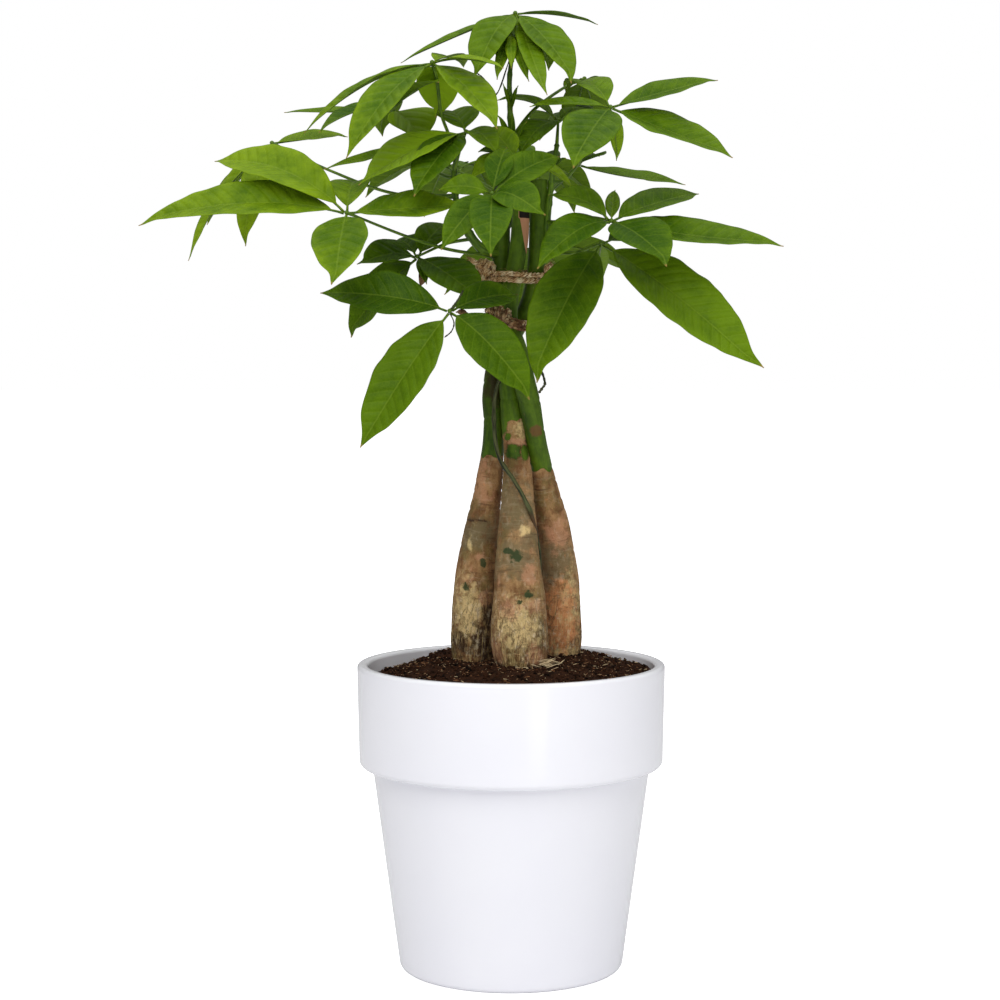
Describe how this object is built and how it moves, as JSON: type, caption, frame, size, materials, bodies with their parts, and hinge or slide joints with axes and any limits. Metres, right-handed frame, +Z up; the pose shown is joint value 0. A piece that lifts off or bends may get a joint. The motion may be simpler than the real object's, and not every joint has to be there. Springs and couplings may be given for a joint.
{
  "type": "potted money tree",
  "caption": "Money tree houseplant with braided swollen trunks tied with jute and hand-shaped green leaves, in soil in a tall white glazed pot with a deep collar.",
  "frame": {"origin": "centre of the pot's base, on the surface that it stands on", "axes": "+Z up along the pot's axis, -Y towards the plant's front, +X to the viewer's right"},
  "size_m": [0.3773, 0.2811, 0.5918],
  "materials": {
    "white_glaze": "gloss",
    "potting_soil": "matte",
    "bark": "matte",
    "green_shoot": "satin",
    "dried_stem": "matte",
    "jute_twine": "matte",
    "leaf_fresh": "satin",
    "leaf_mid": "satin",
    "leaf_deep": "satin"
  },
  "bodies": {
    "root": {"pot": "white_glaze", "soil": "potting_soil", "trunk_left": "bark", "trunk_front": "bark", "trunk_right": "bark", "slender_stem": "dried_stem", "twine_upper": "jute_twine", "twine_lower": "jute_twine", "shoot_left": "green_shoot", "shoot_centre": "green_shoot", "shoot_right": "green_shoot", "shoot_back": "green_shoot", "leaf_left_long": "leaf_fresh", "leaf_left_hanging": "leaf_fresh", "leaf_left_low": "leaf_deep", "leaf_low_broad": "leaf_deep", "leaf_front": "leaf_mid", "leaf_top_left": "leaf_fresh", "leaf_top": "leaf_mid", "leaf_young": "leaf_fresh", "leaf_right_high": "leaf_mid", "leaf_right_long": "leaf_mid", "leaf_right_broad": "leaf_mid", "leaf_right_middle": "leaf_deep", "leaf_centre_left": "leaf_mid", "leaf_left_high": "leaf_mid", "leaf_centre": "leaf_fresh", "leaf_right_inner": "leaf_deep", "leaf_right_back_high": "leaf_mid", "leaf_back_left": "leaf_deep", "leaf_back_right": "leaf_mid", "leaf_back_low": "leaf_deep"}
  },
  "joints": []
}
